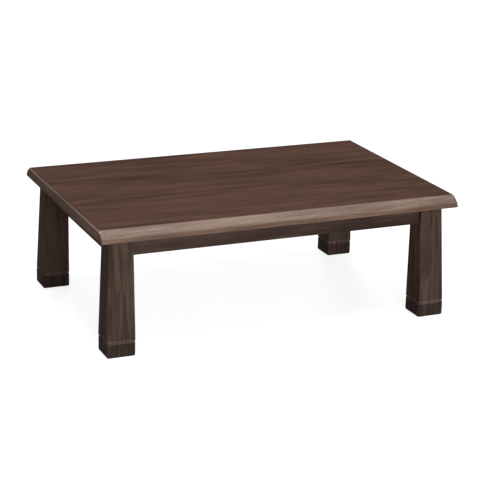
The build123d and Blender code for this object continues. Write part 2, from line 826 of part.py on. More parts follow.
def make_controls():
    """Thermostat, thermal fuse and terminal block, each fixed under the case's top."""
    x, y = thermostat_centre
    low = ceiling - thermostat_height
    body = rod((x, y, low), (x, y, ceiling), thermostat_radius)
    nodes["thermostat"] = fillet(body.edges().group_by(Axis.Z)[0], sheet)

    x, y = fuse_centre
    level = ceiling - fuse_radius
    half = fuse_length / 2
    nodes["thermal_fuse"] = rod((x, y - half, level), (x, y + half, level), fuse_radius)

    x, y = terminal_centre
    size_x, size_y, size_z = terminal_size
    body = block(around(x, size_x), around(y, size_y), (ceiling - size_z, ceiling))
    nodes["terminal_block"] = chamfer(body.edges().group_by(Axis.Z)[0], sheet)


def make_inlet():
    """A two-pin inlet with a deep mouth, held by a flange that lies on the guard."""
    x, y = inlet_centre
    mouth_z = guard_bottom - inlet_below_guard
    recess_z = mouth_z + inlet_depth
    back_z = recess_z + inlet_back
    flange_z = guard_bottom + sheet
    body = block(around(x, inlet_size[0]), around(y, inlet_size[1]), (mouth_z, back_z))
    body = fillet(body.edges().filter_by(Axis.Z), 2 * sheet)
    body += block(
        around(x, inlet_size[0] + 2 * inlet_flange),
        around(y, inlet_size[1] + 2 * inlet_flange),
        (flange_z, flange_z + inlet_flange_thickness),
    )
    recess = block(around(x, inlet_mouth[0]), around(y, inlet_mouth[1]), (mouth_z, recess_z))
    body -= fillet(recess.edges().filter_by(Axis.Z), 2 * sheet)
    pins = []
    for pin_x in around(x, pin_spacing):
        start = (pin_x, y, recess_z - pin_reach)
        end = (pin_x, y, back_z + pin_tail)
        body -= rod((pin_x, y, recess_z), (pin_x, y, back_z), pin_radius + bolt_fit)
        pins.append(rod(start, end, pin_radius))
    nodes["power_inlet"] = body
    nodes["inlet_pins"] = group(pins)


def make_wires():
    """Leads from the inlet to the terminal block, and on to the lamp and the motor."""
    level = case_top - wire_level
    back = lamp_start_y - holder_back
    block_x, block_y = terminal_centre
    front = block_y - terminal_size[1] / 2
    side = block_x + terminal_size[0] / 2
    lane = 2 * wire_radius + sheet

    near_x, far_x = around(block_x, lane)
    far_y, near_y = around(back - wire_bend - wire_radius, lane)
    left, right = lamp_axes()
    start_y = back + wire_bend / 2
    routes = [
        [(x, start_y, level), (x, lane_y, level), (end_x, lane_y, level), (end_x, front, level)]
        for x, lane_y, end_x in ((left, far_y, far_x), (right, near_y, near_x))
    ]

    inlet_x, inlet_y = inlet_centre
    tail = guard_bottom - inlet_below_guard + inlet_depth + inlet_back + pin_tail
    outer_x = guard_half - 4 * sheet - wire_bend
    left_pin, right_pin = around(inlet_x, pin_spacing)
    low_y, high_y = around(inlet_y, lane)
    low_end, high_end = around(block_y, lane)
    for pin_x, turn_y, lane_x, end_y in (
        (left_pin, high_y, outer_x, low_end),
        (right_pin, low_y, outer_x - lane, high_end),
    ):
        routes.append([
            (pin_x, turn_y, tail),
            (pin_x, turn_y, level),
            (lane_x, turn_y, level),
            (lane_x, end_y, level),
            (side, end_y, level),
        ])
    nodes["lead_wires"] = group([
        swept(FilletPolyline(*route, radius=wire_bend), wire_radius) for route in routes
    ])


def make_heater():
    """Case, guard, divider and reflector, with every fastener of the unit."""
    nodes["heater_case"] = make_case()
    nodes["heater_guard"] = make_guard()
    nodes["heater_divider"] = make_divider()
    nodes["heater_reflector"] = make_reflector()
    ear_screws = []
    for seat in ear_screw_seats():
        low = (seat[0], seat[1], rail_bottom - ear_thickness)
        fastener = screw(low, (0, 0, 1), ear_screw_radius, ear_screw_length, *ear_screw_head)
        ear_screws += [fastener, mirror(fastener, about=Plane.YZ)]
    nodes["heater_screws"] = group(ear_screws)
    nodes["guard_screws"] = group([
        screw(seat, direction, guard_screw_radius, guard_screw_length, *guard_screw_head)
        for seat, direction in guard_screw_places()
    ])
    make_lamp()
    make_fan()
    make_controls()
    make_inlet()
    make_wires()


make_board()
make_frame()
make_grip_pads()
make_corners()
make_heater()

os.makedirs("parts", exist_ok=True)
for name, shape in nodes.items():
    export_step(shape, os.path.join("parts", name + ".step"))
print(len(nodes), "parts written")
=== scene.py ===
# %% [markdown]
# # A kotatsu, the low heated table
#
# The table has a loose board, a frame on four square legs, a short extension under each leg and
# a heater unit in the middle of the frame. The CAD model gives every piece its size and place, so
# this lesson is about looks: the timber and its finish, the small metal pieces that the CAD model
# only blocks out, and the light. All lengths are in metres and the origin is on the floor under
# the middle of the board.

# %% Load the frame
import math

import bmesh
import bpy
import numpy as np
from mathutils import Matrix, Vector


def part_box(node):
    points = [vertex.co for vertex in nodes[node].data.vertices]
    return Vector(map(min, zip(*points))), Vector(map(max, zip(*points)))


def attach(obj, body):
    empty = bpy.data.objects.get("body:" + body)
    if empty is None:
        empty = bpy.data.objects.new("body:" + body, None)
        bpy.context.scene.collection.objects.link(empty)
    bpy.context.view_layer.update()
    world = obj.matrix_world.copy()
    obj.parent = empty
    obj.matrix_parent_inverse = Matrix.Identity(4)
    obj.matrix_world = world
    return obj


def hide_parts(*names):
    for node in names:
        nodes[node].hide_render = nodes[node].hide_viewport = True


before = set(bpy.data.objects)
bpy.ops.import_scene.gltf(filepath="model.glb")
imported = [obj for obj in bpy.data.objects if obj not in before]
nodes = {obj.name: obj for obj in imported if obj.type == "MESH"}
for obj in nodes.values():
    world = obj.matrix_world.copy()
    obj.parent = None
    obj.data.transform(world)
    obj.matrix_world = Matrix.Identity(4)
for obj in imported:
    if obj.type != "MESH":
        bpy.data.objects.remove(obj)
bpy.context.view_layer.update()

MM = 0.001
CORNERS = ("front_left", "front_right", "rear_left", "rear_right")

# %% [markdown]
# ## Camera
#
# A long lens from a little over five metres away keeps the table's edges nearly parallel, as in
# a catalogue. The camera stands to the left of the front, looks down by 18 degrees and is rolled
# by a degree and a half. Writing its three axes as the columns of a matrix says all of that at
# once, and needs no target object or constraint.

# %% Camera
AZIMUTH = math.radians(-23.79)
ELEVATION = math.radians(18.24)
ROLL = math.radians(1.466)
LENS = 115.83
CAMERA_DISTANCE = 5.340
LOOKS_AT = Vector((0.0, 0.0, 0.200))
AIM_OFFSET = (0.0451, -0.0331)

towards_camera = Vector((
    math.sin(AZIMUTH) * math.cos(ELEVATION),
    -math.cos(AZIMUTH) * math.cos(ELEVATION),
    math.sin(ELEVATION),
))
level_right = Vector((0, 0, 1)).cross(towards_camera).normalized()
level_up = towards_camera.cross(level_right)
camera_right = math.cos(ROLL) * level_right + math.sin(ROLL) * level_up
camera_up = math.cos(ROLL) * level_up - math.sin(ROLL) * level_right

camera_place = (
    LOOKS_AT
    + towards_camera * CAMERA_DISTANCE
    + camera_right * AIM_OFFSET[0]
    + camera_up * AIM_OFFSET[1]
)
camera_data = bpy.data.cameras.new("camera")
camera_data.lens = LENS
camera_data.clip_end = 60
camera = bpy.data.objects.new("camera", camera_data)
axes = Matrix((camera_right, camera_up, towards_camera)).transposed()
camera.matrix_world = Matrix.Translation(camera_place) @ axes.to_4x4()
bpy.context.scene.collection.objects.link(camera)
bpy.context.scene.camera = camera
print("camera at", [round(x, 3) for x in camera_place])

# %% [markdown]
# ## Helpers for node trees
#
# Paint and stain are matched as sRGB hex codes, but a shader works in linear light, so one
# function turns a code into a linear colour. Every node, in a material or in a geometry tree, is
# added by one other function, which sets the node's own settings and then gives each input a
# value or a link. That keeps a tree readable as a list of steps, each with what goes into it.

# %% Colour and node helpers
def linear(code):
    """An sRGB hex code as the linear colour that a shader works in."""
    channels = [int(code[i:i + 2], 16) / 255 for i in (1, 3, 5)]
    light = [c / 12.92 if c <= 0.04045 else ((c + 0.055) / 1.055) ** 2.4 for c in channels]
    return (*light, 1.0)


def fill(tree, node, inputs):
    """Gives each input a value, or a link from a source or from each of a list of sources.

    A source is an output socket, or a node, which stands for its first output in use.
    """
    for key, value in inputs.items():
        for source in value if isinstance(value, list) else [value]:
            if isinstance(source, bpy.types.Node):
                source = next(socket for socket in source.outputs if socket.enabled)
            if isinstance(source, bpy.types.NodeSocket):
                tree.links.new(source, node.inputs[key])
            else:
                node.inputs[key].default_value = source


FAMILIES = ("ShaderNode", "GeometryNode", "FunctionNode", "Node")


def add(tree, kind, inputs=None, stops=None, **settings):
    """Adds a node with its own settings, its inputs and the places and codes of its ramp.

    Its kind is Blender's name for it without the family in front: Math for ShaderNodeMath.
    """
    made = tree.nodes.new(next(
        family + kind for family in FAMILIES if hasattr(bpy.types, family + kind)))
    for name, value in settings.items():
        setattr(made, name, value)
    fill(tree, made, inputs or {})
    if stops:
        ramp = made.color_ramp.elements
        while len(ramp) < len(stops):
            ramp.new(0.5)
        for element, (place, code) in zip(ramp, stops):
            element.position = place
            element.color = linear(code)
    return made


def new_material(name, pieces=()):
    """A material that dresses CAD pieces, its node tree, and its shader, wired to the output."""
    material = bpy.data.materials.new(name)
    material.use_nodes = True
    for piece in pieces:
        for material_slot in nodes[piece].material_slots:
            material_slot.material = material
    return material, material.node_tree, material.node_tree.nodes["Principled BSDF"]


print("#806040 in linear light:", [round(c, 3) for c in linear("#806040")])

# %% [markdown]
# ## Floor and light
#
# A studio floor is pale and has no edge. Rays from the camera, and rays that come off or through
# something shiny or clear, see a white glow on top of what the lamps give it. So the floor is
# plain white and the soft shadow of the table stays. The light itself is plain: a large soft
# lamp overhead, one in front, a weaker one behind that keeps the far sides from going black, and
# an even grey world that fills the shadows.

# %% Floor
WHITE_GLOW = 0.82
FLOOR_REACH = 40.0  # from the middle to each side
FLOOR_WHITE = "#c8c8c8"

floor_mesh = bpy.data.meshes.new("studio_floor")
floor_corners = [
    (x * FLOOR_REACH, y * FLOOR_REACH, 0) for x, y in ((-1, -1), (1, -1), (1, 1), (-1, 1))]
floor_mesh.from_pydata(floor_corners, [], [(0, 1, 2, 3)])
floor = bpy.data.objects.new("studio_floor", floor_mesh)
bpy.context.scene.collection.objects.link(floor)

paper, tree, surface = new_material("Studio floor, matt white paper")
tree.nodes.remove(surface)
rays = add(tree, "LightPath")
mirror = add(tree, "Math", {
    0: rays.outputs["Is Glossy Ray"], 1: rays.outputs["Is Transmission Ray"]}, operation="MAXIMUM")
seen = add(tree, "Math", {0: rays.outputs["Is Camera Ray"], 1: mirror}, operation="MAXIMUM")
glow = add(tree, "Math", {0: seen, 1: WHITE_GLOW}, operation="MULTIPLY")
matt = add(tree, "BsdfDiffuse", {"Color": linear(FLOOR_WHITE)})
white = add(tree, "Emission", {"Color": (1, 1, 1, 1), "Strength": glow})
both = add(tree, "AddShader", {0: matt, 1: white})
fill(tree, tree.nodes["Material Output"], {"Surface": both})
floor_mesh.materials.append(paper)
print("white glow of the floor:", WHITE_GLOW)

# %% Lamps and world
def soft_lamp(name, place, aim, size, power):
    """A square soft box that faces a point."""
    data = bpy.data.lights.new(name, "AREA")
    data.shape = "RECTANGLE"
    data.size, data.size_y = size
    data.energy = power
    lamp = bpy.data.objects.new(name, data)
    direction = Vector(aim) - Vector(place)
    turn = direction.to_track_quat("-Z", "Y").to_matrix().to_4x4()
    lamp.matrix_world = Matrix.Translation(Vector(place)) @ turn
    bpy.context.scene.collection.objects.link(lamp)
    return lamp


soft_lamp("overhead_soft_box", (0.0, -0.4, 3.2), (0.0, 0.0, 0.3), (3.0, 2.4), 67)
soft_lamp("front_soft_box", (-0.6, -6.0, 0.9), (0.0, 0.0, 0.2), (1.4, 1.2), 280)
rear_lamp = soft_lamp("rear_soft_box", (5.0, 12.5, 2.6), (0.0, 0.0, 0.2), (3.2, 2.6), 1000)
rear_lamp.visible_glossy = False  # the flat board would mirror it as a glare

WORLD_LIGHT = 0.12
world = bpy.data.worlds.new("studio_air")
world.use_nodes = True
world.node_tree.nodes.clear()
air = add(world.node_tree, "Background", {"Color": (1, 1, 1, 1), "Strength": WORLD_LIGHT})
add(world.node_tree, "OutputWorld", {"Surface": air})
bpy.context.scene.world = world
bpy.context.scene.view_settings.view_transform = "Standard"

# %% [markdown]
# ## Timber that knows which way it was sawn
#
# Grain follows the length of a board, so the pattern is stretched along one axis of the piece.
# Four things make it: broad figure, growth rings, which a saw cuts into long narrow streaks, open
# pores, which are short dark dashes, and the slow drift of colour from one part of the tree to
# another. All are noise read in real millimetres, and no picture of wood is needed. The pores of
# ash are about 0.3 mm wide; they are drawn twice as wide here, because finer ones would not show.

# %% Grain pattern
FIGURE_WIDTH = 34 * MM
FIGURE_LENGTH = 300 * MM
RING_SPACING = 7.0 * MM
RING_LENGTH = 140 * MM
STREAK_WIDTH = 2.6 * MM
STREAK_LENGTH = 60 * MM
PORE_WIDTH = 0.7 * MM
PORE_LENGTH = 11 * MM
DRIFT_SIZE = 160 * MM
SWAY_WIDTH = 90 * MM
SWAY_LENGTH = 420 * MM
SWAY = 22 * MM
LOG_PLACE = (4.9, 2.2, 0.4)  # where the table lies in the pattern
PORE_OPENS, PORE_OPEN = 0.60, 0.72  # the noise values where a pore begins and is full
STREAK_SHARE = 0.45  # of the streaks in the fine grain; the rest is rings
FINE_SHARE = 0.5  # of the fine grain in the figure; the rest is bands


def step_size(grain_axis, across, along):
    """A scale that makes one step a width across the grain and a length along it."""
    scale = [1 / across] * 3
    scale["XYZ".index(grain_axis)] = 1 / along
    return tuple(scale)


def grain_noise(tree, place, grain_axis, across, along, detail, roughness=0.5):
    """Noise from 0 to 1, drawn out along the grain."""
    mapped = add(tree, "Mapping", {"Vector": place, "Scale": step_size(grain_axis, across, along)})
    return add(tree, "TexNoise", {
        "Vector": mapped, "Scale": 1.0, "Detail": detail, "Roughness": roughness})


def grain(tree, grain_axis, band_width=FIGURE_WIDTH):
    """Figure, streaks, pores and drift, each from 0 to 1, for wood sawn along one axis."""
    place = add(tree, "VectorMath", {0: add(tree, "TexCoord").outputs["Object"], 1: LOG_PLACE})
    sway = grain_noise(tree, place, grain_axis, SWAY_WIDTH, SWAY_LENGTH, 1.0)
    swayed = add(tree, "VectorMath", {
        0: sway.outputs["Color"], 1: (SWAY, SWAY, SWAY), 2: place}, operation="MULTIPLY_ADD")
    bands = grain_noise(tree, swayed, grain_axis, band_width, FIGURE_LENGTH, 2.0)
    rings = grain_noise(tree, swayed, grain_axis, RING_SPACING, RING_LENGTH, 3.0, 0.55)
    streaks = grain_noise(tree, swayed, grain_axis, STREAK_WIDTH, STREAK_LENGTH, 4.0, 0.6)
    dashes = grain_noise(tree, place, grain_axis, PORE_WIDTH, PORE_LENGTH, 1.0, 0.4)
    drift = grain_noise(tree, place, grain_axis, DRIFT_SIZE, 4 * DRIFT_SIZE, 2.0)
    pores = add(tree, "MapRange", {"Value": dashes, "From Min": PORE_OPENS, "From Max": PORE_OPEN})
    fine = add(tree, "Mix", {"Factor": STREAK_SHARE, "A": rings, "B": streaks}, data_type="FLOAT")
    figure = add(tree, "Mix", {"Factor": FINE_SHARE, "A": bands, "B": fine}, data_type="FLOAT")
    return {"figure": figure, "streaks": streaks, "pores": pores, "drift": drift}


print("growth rings every", RING_SPACING / MM, "mm, pores", PORE_WIDTH / MM, "mm wide")

# %% [markdown]
# ## Timber, stained or bare
#
# The table is stained dark brown and sprayed with a thin satin lacquer. Stain soaks into the open
# pores and the soft early wood and leaves the dense late wood paler, so the colour is read from
# the figure through a ramp of three codes, and the pores take the deepest of them. The drift
# then pulls whole areas towards a fourth code. Each part was stained on its own, so the board,
# the legs, the aprons and the extensions have a set of codes each. The lacquer doesn't quite fill
# the pores, so they stay as faint dents. It has little shine, so the specular level is low; the
# board's face, rubbed to a better finish, gets more of it and a thin coat. A tint can change the
# colour in one zone of a piece, which the next part needs. The same recipe with pale codes and
# no coat makes the unfinished rails.

# %% Timber material
RAMP_PLACES = (0.41, 0.50, 0.59)
DRIFT_FROM, DRIFT_TO = 0.35, 0.65  # the noise values where a drift begins and is full
DRIFT_SHARE = 0.6
PORE_DENT = 0.2 * MM
DENT_BUMP = 0.25
NOISE_LOW, NOISE_HIGH = 0.3, 0.7  # nearly all of a noise lies between these
GLOSS_SPREAD = 0.06
COAT_ROUGH = 0.32


def timber(name, pieces, grain_axis, codes, drift_code, band_width=FIGURE_WIDTH,
           roughness=0.72, coat=0.0, specular=0.03, pore_depth=0.6, tint=None):
    """Dresses pieces in sawn wood. Its codes run from deep to pale, and it has a drift code."""
    material, tree, surface = new_material(name, pieces)
    sawn = grain(tree, grain_axis, band_width)
    ramp = add(tree, "ValToRGB", {"Fac": sawn["figure"]}, stops=list(zip(RAMP_PLACES, codes)))
    drifted = add(tree, "MapRange", {
        "Value": sawn["drift"], "From Min": DRIFT_FROM, "From Max": DRIFT_TO,
        "To Max": DRIFT_SHARE})
    colour = add(tree, "Mix", {
        "Factor": drifted, "A": ramp, "B": linear(drift_code)}, data_type="RGBA")
    if tint:
        colour = tint(tree, sawn, colour)
    depth = add(tree, "Math", {0: sawn["pores"], 1: pore_depth}, operation="MULTIPLY")
    pored = add(tree, "Mix", {
        "Factor": depth, "A": colour, "B": linear(codes[0])}, data_type="RGBA")
    relief = add(tree, "Math", {
        0: sawn["pores"], 1: -1.0, 2: sawn["streaks"]}, operation="MULTIPLY_ADD")
    bump = add(tree, "Bump", {"Height": relief, "Strength": DENT_BUMP, "Distance": PORE_DENT})
    gloss = add(tree, "MapRange", {
        "Value": sawn["streaks"], "From Min": NOISE_LOW, "From Max": NOISE_HIGH,
        "To Min": roughness - GLOSS_SPREAD, "To Max": roughness + GLOSS_SPREAD})
    fill(tree, surface, {
        "Base Color": pored, "Roughness": gloss, "Normal": bump,
        "Coat Weight": coat, "Coat Roughness": COAT_ROUGH, "Specular IOR Level": specular})
    return material


BOARD_STAIN = ("#3d261d", "#53392d", "#694a3b")
BOARD_DRIFT = "#644638"
LEG_STAIN = ("#372a25", "#44352f", "#524138")
LEG_DRIFT = "#4a3830"
APRON_STAIN = ("#302520", "#3d302b", "#4c3d36")
APRON_DRIFT = "#44342e"
EXTENSION_STAIN = ("#2c221e", "#362a27", "#423430")
EXTENSION_DRIFT = "#3a2c28"
timber("Ash veneer, dark stain, satin lacquer", ["board_face_veneer"], "X",
       BOARD_STAIN, BOARD_DRIFT, roughness=0.5, coat=0.07, specular=0.25)
print("face veneer dressed")

# %% Solid timber of the aprons
for grain_axis, run, names in (("X", "left to right", ("apron_front", "apron_rear")),
                               ("Y", "front to back", ("apron_left", "apron_right"))):
    timber("Solid ash apron, dark stain, grain " + run, names, grain_axis, APRON_STAIN, APRON_DRIFT)
    print("aprons dressed, grain", run)

# %% [markdown]
# ## Edges with the stain rubbed back, and painted highlights
#
# The long edges of the board are planed to a wide slope with a steeper lip under it. On the real
# table the slope is rubbed back before the lacquer, so it is paler and greyer than the face; here
# that paler colour is also a painted highlight of the overhead light that the slope faces. The lip
# keeps more of a warm brown. The short edges have only a narrow rubbed chamfer, which is painted
# pale as a highlight too, and their faces are painted lighter than the stain, as painted light for
# ends that the lamps hardly reach. Where an extension meets a leg, each end gets a thin pale line
# of painted highlight, the light that the chamfers there catch, and the two lines read as a joint.
# One tint makes all of these: the height above the floor tells face, slope and lip apart, because
# every one of these edges is level. The rubbing was done by hand, so the height is pushed up and
# down a little by a patchy noise, which also makes the painted highlights uneven.

# %% Edge strips and end bands
PATCH_WIDTH = 14 * MM
PATCH_LENGTH = 90 * MM
WORN_SHARE = 0.25  # of the lip's colour in the most worn parts of the slope


def rubbed_edge_with_highlight(levels, pale_and_highlight_codes, lip_codes, patch_depth):
    """A tint for a rubbed edge and its painted highlight.

    Levels are heights: face, slope's top, slope's foot, lip.
    """
    face_level, slope_top, slope_low, lip_top = levels

    def tint(tree, sawn, colour):
        place = add(tree, "TexCoord").outputs["Object"]
        height = add(tree, "SeparateXYZ", {0: place}).outputs["Z"]
        patchy = grain_noise(tree, place, "X", PATCH_WIDTH, PATCH_LENGTH, 2.0)
        uneven = add(tree, "Math", {0: patchy, 1: patch_depth, 2: height}, operation="MULTIPLY_ADD")
        below_face = add(tree, "MapRange", {
            "Value": height, "From Min": face_level, "From Max": slope_top},
            interpolation_type="SMOOTHSTEP")
        below_slope = add(tree, "MapRange", {
            "Value": uneven,
            "From Min": slope_low + patch_depth / 2, "From Max": lip_top + patch_depth / 2},
            interpolation_type="SMOOTHSTEP")
        # The pale ramp is partly rubbed stain and partly a painted highlight.
        pale, warm = [
            add(tree, "ValToRGB", {"Fac": sawn["figure"]}, stops=list(zip(RAMP_PLACES, codes)))
            for codes in (pale_and_highlight_codes, lip_codes)]
        worn = add(tree, "MapRange", {
            "Value": sawn["drift"], "From Min": DRIFT_FROM, "From Max": DRIFT_TO,
            "To Max": WORN_SHARE})
        uneven_pale_and_highlight = add(tree, "Mix", {"Factor": worn, "A": pale, "B": warm}, data_type="RGBA")
        edge = add(tree, "Mix", {
            "Factor": below_slope, "A": uneven_pale_and_highlight, "B": warm}, data_type="RGBA")
        return add(tree, "Mix", {"Factor": below_face, "A": colour, "B": edge}, data_type="RGBA")
    return tint


# The slope's pale codes are partly the stain rubbed back and partly a painted highlight.
STRIP_LEVELS = (0.4050, 0.4030, 0.3870, 0.3800)
STRIP_PALE_AND_HIGHLIGHT = ("#766259", "#887468", "#978277")
STRIP_LIP = ("#523e33", "#644e40", "#745c4c")
timber("Solid ash edge, rubbed stain, satin lacquer",
       ["board_front_edge_strip", "board_rear_edge_strip"], "X", BOARD_STAIN, BOARD_DRIFT,
       roughness=0.55, coat=0.05, specular=0.2,
       tint=rubbed_edge_with_highlight(STRIP_LEVELS, STRIP_PALE_AND_HIGHLIGHT, STRIP_LIP, patch_depth=3 * MM))

# The band's pale codes are a painted highlight on the chamfer, partly rubbed, and its face codes
# are painted lighter than the stain, as painted light for ends that the lamps hardly reach.
BAND_LEVELS = (0.4048, 0.4030, 0.3995, 0.3950)
BAND_PALE_AND_HIGHLIGHT = ("#8a7a70", "#9c8a80", "#ab9a90")
BAND_FACE_WITH_PAINTED_LIGHT = ("#644e43", "#775d50", "#876c5e")
timber("Solid ash end band, rubbed chamfer", ["board_left_end_band", "board_right_end_band"],
       "Y", BOARD_STAIN, BOARD_DRIFT,
       tint=rubbed_edge_with_highlight(BAND_LEVELS, BAND_PALE_AND_HIGHLIGHT, BAND_FACE_WITH_PAINTED_LIGHT, patch_depth=0.5 * MM))
print("edge strips and end bands dressed")

# %% Legs and their extensions
# The joint's pale codes are a painted highlight: the light that the chamfers catch where leg and
# extension meet.
LEG_LEVELS = (0.0550, 0.0515, 0.0460, 0.0450)
EXTENSION_LEVELS = (0.0478, 0.0470, 0.0430, 0.0415)
JOINT_HIGHLIGHT = ("#4d3d36", "#59483f", "#66544a")
LEG_BAND = 14 * MM

timber("Solid ash leg, dark stain, rubbed lower end", ["leg_" + corner for corner in CORNERS],
       "Z", LEG_STAIN, LEG_DRIFT, LEG_BAND,
       tint=rubbed_edge_with_highlight(LEG_LEVELS, JOINT_HIGHLIGHT, JOINT_HIGHLIGHT, patch_depth=0.3 * MM))
timber("Solid ash extension, dark stain, rubbed upper end",
       ["extension_" + corner for corner in CORNERS],
       "Z", EXTENSION_STAIN, EXTENSION_DRIFT, LEG_BAND,
       tint=rubbed_edge_with_highlight(EXTENSION_LEVELS, JOINT_HIGHLIGHT, EXTENSION_STAIN, patch_depth=0.3 * MM))
print("legs and extensions dressed")

# %% [markdown]
# ## Bare timber and boards that the lacquer doesn't reach
#
# Nobody sees the rails inside the frame, so they are planed rubberwood with no finish, pale and
# dull. Dowels are turned from beech, which is pinker and full of short dark flecks. Their codes
# go through the same recipe as the stained timber. The board's core is chipboard: flakes of two
# or three millimetres, each with its own brown, which is what Voronoi cells look like. Its
# underside is a printed melamine paper, so it shows a fine straight print but has no pores.

# %% Rails and dowels
RUBBERWOOD = ("#ab8d66", "#bfa37b", "#cfb793")
RUBBERWOOD_DRIFT = "#b4966c"
BEECH = ("#a87a50", "#bf9468", "#cda680")
BEECH_DRIFT = "#b98a60"

for grain_axis, run, names in (("Y", "front to back", ("cross_rail_left", "cross_rail_right")),
                               ("X", "left to right", ("heater_rail_front", "heater_rail_rear"))):
    timber("Rubberwood rail, planed, unfinished, " + run, names, grain_axis,
           RUBBERWOOD, RUBBERWOOD_DRIFT, band_width=12 * MM, specular=0.3, pore_depth=0.35)
    print("rails dressed, grain", run)

beech = timber(
    "Beech dowel, turned and fluted", ["extension_dowels_" + corner for corner in CORNERS], "Z",
    BEECH, BEECH_DRIFT, band_width=6 * MM, roughness=0.62, specular=0.3, pore_depth=0.5)
print(beech.name)

# %% Chipboard core
FLAKE_SIZE = 2.6 * MM

chipboard, tree, surface = new_material("Chipboard, pressed flakes", ["board_core"])
place = add(tree, "TexCoord").outputs["Object"]
flakes = add(tree, "TexVoronoi", {"Vector": place, "Scale": 1 / FLAKE_SIZE})
flake_tone = add(tree, "SeparateColor", {0: flakes.outputs["Color"]})
tone = add(tree, "ValToRGB", {"Fac": flake_tone},
           stops=[(0.0, "#8a6742"), (0.5, "#b8925f"), (1.0, "#d2b07c")])
bump = add(tree, "Bump", {
    "Height": flakes.outputs["Distance"], "Strength": 0.4, "Distance": 0.3 * MM})
fill(tree, surface, {
    "Base Color": tone, "Roughness": 0.85, "Normal": bump, "Specular IOR Level": 0.2})
print(chipboard.name, "of", FLAKE_SIZE / MM, "mm")

# %% Backing sheet
PRINT = ("#2e2420", "#382c26", "#43352e")
PRINT_DRIFT = "#3a2c25"
timber("Melamine paper, dark brown print, matt", ["board_backing_sheet"], "X",
       PRINT, PRINT_DRIFT, roughness=0.55, specular=0.3, pore_depth=0.2)
print("backing sheet dressed")

# %% [markdown]
# ## One recipe for small plain surfaces
#
# Most of the remaining pieces are one colour at a glance: rubber, plastic, enamel, plated steel,
# fired clay. Each still has two things that the eye reads: a slow unevenness, such as the cloudy
# tone of a zinc bath, and a fine texture, such as the grit of a mould or the orange peel of
# sprayed enamel. So one recipe takes a slow noise between two codes and a fine noise that gives
# bump and uneven gloss, and each finish gives it its own sizes in millimetres.

# %% Plain surface material
GRIT_BUMP = 0.5
LEAST_ROUGH = 0.02


def plain_surface(name, pieces, codes, sizes, roughness, gloss_spread=0.08,
                  stretch=(1, 1, 1), **shader):
    """Dresses pieces in a surface that drifts between two codes and carries a fine grit.

    Sizes are the clouds' and the grit's size and the grit's depth, in millimetres.
    """
    cloud_size, grit_size, grit_depth = (size * MM for size in sizes)
    material, tree, surface = new_material(name, pieces)
    place = add(tree, "TexCoord").outputs["Object"]
    drawn = add(tree, "Mapping", {"Vector": place, "Scale": stretch})
    cloud = add(tree, "TexNoise", {
        "Vector": drawn, "Scale": 1 / cloud_size, "Detail": 3.0, "Roughness": 0.6})
    grit = add(tree, "TexNoise", {
        "Vector": drawn, "Scale": 1 / grit_size, "Detail": 2.0, "Roughness": 0.6})
    tone = add(tree, "ValToRGB", {"Fac": cloud}, stops=list(zip((DRIFT_FROM, DRIFT_TO), codes)))
    gloss = add(tree, "MapRange", {
        "Value": grit, "From Min": NOISE_LOW, "From Max": NOISE_HIGH,
        "To Min": max(roughness - gloss_spread, LEAST_ROUGH), "To Max": roughness + gloss_spread})
    bump = add(tree, "Bump", {"Height": grit, "Strength": GRIT_BUMP, "Distance": grit_depth})
    fill(tree, surface, {"Base Color": tone, "Roughness": gloss, "Normal": bump, **shader})
    return material


print("plain surface recipe ready")

# %% Felt and rubber
# Pressed felt is a mat of fibres a few hundredths of a millimetre thick. They are drawn 0.5 mm
# wide, because finer ones would not show, and the sheen gives the soft bright rim of loose hairs.
plain_surface("Pressed wool felt, dark brown", ["felt_pad_" + corner for corner in CORNERS],
              ("#1d1714", "#2c241f"), (9, 0.5, 0.35), 0.92,
              **{"Sheen Weight": 0.25, "Sheen Roughness": 0.6, "Specular IOR Level": 0.1})
# Moulded rubber is dull and slightly dusty, with the fine grit of its mould.
plain_surface("Moulded rubber, black, matt", ["grip_pads"],
              ("#232324", "#303031"), (5, 0.4, 0.06), 0.78, **{"Specular IOR Level": 0.3})
print("felt and rubber dressed")

# %% [markdown]
# ## Metals
#
# Zinc plating from a bath dries a little cloudy and slightly blue. Hot-dip galvanised sheet shows
# spangles, crystals about a centimetre across that each catch the light at another angle, so its
# colour and gloss come from Voronoi cells. Reflector aluminium is polished along its length and
# keeps fine draw lines. The wire of the lamp has been red hot, so it is grey and dull. All keep
# the metal's own reflection, which is why they are metallic and have no separate colour layer.

# %% Plated, drawn and enamelled metal
# Bright blue zinc: nearly white, soft mirror, small cloudy patches.
zinc = plain_surface(
    "Zinc plated steel, blue bright",
    ["corner_bracket_" + corner for corner in CORNERS] + [
        "bracket_screws", "heater_screws", "guard_screws",
        "hanger_bolts", "bolt_washers", "bolt_nuts"],
    ("#b4b8bd", "#cdcfce"), (6, 0.5, 0.015), 0.30, Metallic=1.0)
# Polished reflector sheet: draw lines 0.8 mm apart, stretched sixty times along the lamp.
plain_surface("Reflector aluminium, polished along the lamp", ["heater_reflector"],
              ("#d9dadb", "#ececeb"), (30, 0.8, 0.01), 0.14, gloss_spread=0.05,
              stretch=(1, 1 / 60, 1), Metallic=1.0)
# Spring steel clip and fan shaft, ground bright.
plain_surface("Bright ground steel", ["lamp_clip", "fan_shaft"],
              ("#a7a6a3", "#bcbbb7"), (4, 0.3, 0.01), 0.24, Metallic=1.0)
# Nickel on brass: warm white, clean, small soft scratches from the plug.
plain_surface("Nickel plated brass", ["inlet_pins"],
              ("#bcb49c", "#cfc8b3"), (3, 0.3, 0.01), 0.18, stretch=(1, 1, 0.2), Metallic=1.0)
# Iron-chromium wire that has been red hot: a dull grey oxide with browner spots.
hot_wire = plain_surface("Iron-chromium wire, grey oxide", ["heating_coil"],
                         ("#5b534c", "#7b736b"), (3, 0.3, 0.02), 0.55, Metallic=1.0)
